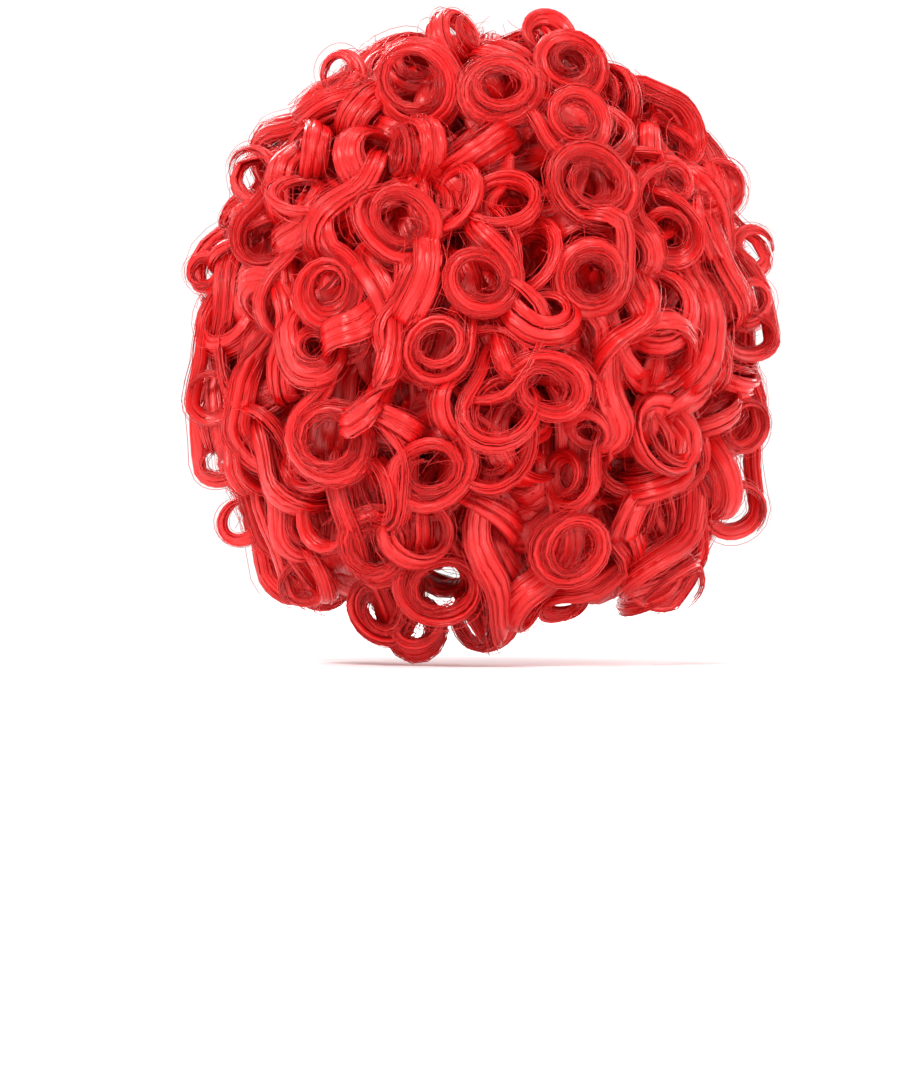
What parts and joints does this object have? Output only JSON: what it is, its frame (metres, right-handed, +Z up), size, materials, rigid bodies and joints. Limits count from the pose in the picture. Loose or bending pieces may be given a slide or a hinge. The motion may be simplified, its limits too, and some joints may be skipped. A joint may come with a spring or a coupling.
{
  "type": "costume wig",
  "caption": "Short voluminous curly bob wig: ringlets sewn in wefts to an adjustable elastic cap with net crown, ribs, ear tabs and nape adjusters.",
  "frame": {"origin": "centre of the wearer's head at the level of the hat-size circumference, inside the cap", "axes": "+Z up to the crown, -Y out of the face, +Y to the nape, +X to the wearer's left"},
  "size_m": [0.2958, 0.2861, 0.3238],
  "materials": {
    "hair": "satin synthetic fibre",
    "weft": "sewn thread",
    "net": "fine net",
    "band": "matt knitted band",
    "elastic": "ribbed elastic",
    "stay": "smooth",
    "hook": "satin",
    "label": "woven satin"
  },
  "bodies": {
    "cap": {"front_band": "band", "side_binding_left": "band", "side_binding_right": "band", "nape_band": "band", "crown_net": "net", "crown_patch": "band", "rib_centre_back": "elastic", "rib_back_left": "elastic", "rib_back_right": "elastic", "rib_ear_left": "elastic", "rib_ear_right": "elastic", "rib_temple_left": "elastic", "rib_temple_right": "elastic", "adjuster_tape_left": "elastic", "tape_pockets_left": "elastic", "adjuster_strap_left": "elastic", "adjuster_tape_right": "elastic", "tape_pockets_right": "elastic", "adjuster_strap_right": "elastic", "weft_01": "weft", "weft_02": "weft", "weft_03": "weft", "weft_04": "weft", "weft_05": "weft", "weft_06": "weft", "weft_07": "weft", "weft_08": "weft", "weft_09": "weft", "weft_10": "weft", "weft_11": "weft", "weft_12": "weft", "curls_01": "hair", "curls_02": "hair", "curls_03": "hair", "curls_04": "hair", "curls_05": "hair", "curls_06": "hair", "curls_07": "hair", "curls_08": "hair", "curls_09": "hair", "curls_10": "hair", "curls_11": "hair", "curls_12": "hair", "curls_crown": "hair", "size_label": "label"},
    "ear_tab_left": {"ear_tab_left": "band", "ear_stay_left": "stay"},
    "ear_tab_right": {"ear_tab_right": "band", "ear_stay_right": "stay"},
    "adjuster_hook_left": {"adjuster_hook_left": "hook"},
    "adjuster_hook_right": {"adjuster_hook_right": "hook"}
  },
  "joints": [
    {"name": "ear_tab_left_flex", "type": "hinge", "parent": "cap", "child": "ear_tab_left", "pos_m": [0.06382, -0.05162, 0.01838], "axis": [0.4786, 0.7992, -0.3636], "range_deg": [-5, 15]},
    {"name": "ear_tab_right_flex", "type": "hinge", "parent": "cap", "child": "ear_tab_right", "pos_m": [-0.06382, -0.05162, 0.01838], "axis": [-0.4786, 0.7992, -0.3636], "range_deg": [-15, 5]},
    {"name": "adjuster_left_travel", "type": "hinge", "parent": "cap", "child": "adjuster_hook_left", "pos_m": [0, 0.02734, -0.06018], "axis": [0, 0, 1], "range_deg": [-7, 20], "deforming": ["adjuster_strap_left"]},
    {"name": "adjuster_right_travel", "type": "hinge", "parent": "cap", "child": "adjuster_hook_right", "pos_m": [0, 0.02734, -0.06018], "axis": [0, 0, 1], "range_deg": [-20, 7], "deforming": ["adjuster_strap_right"]}
  ]
}
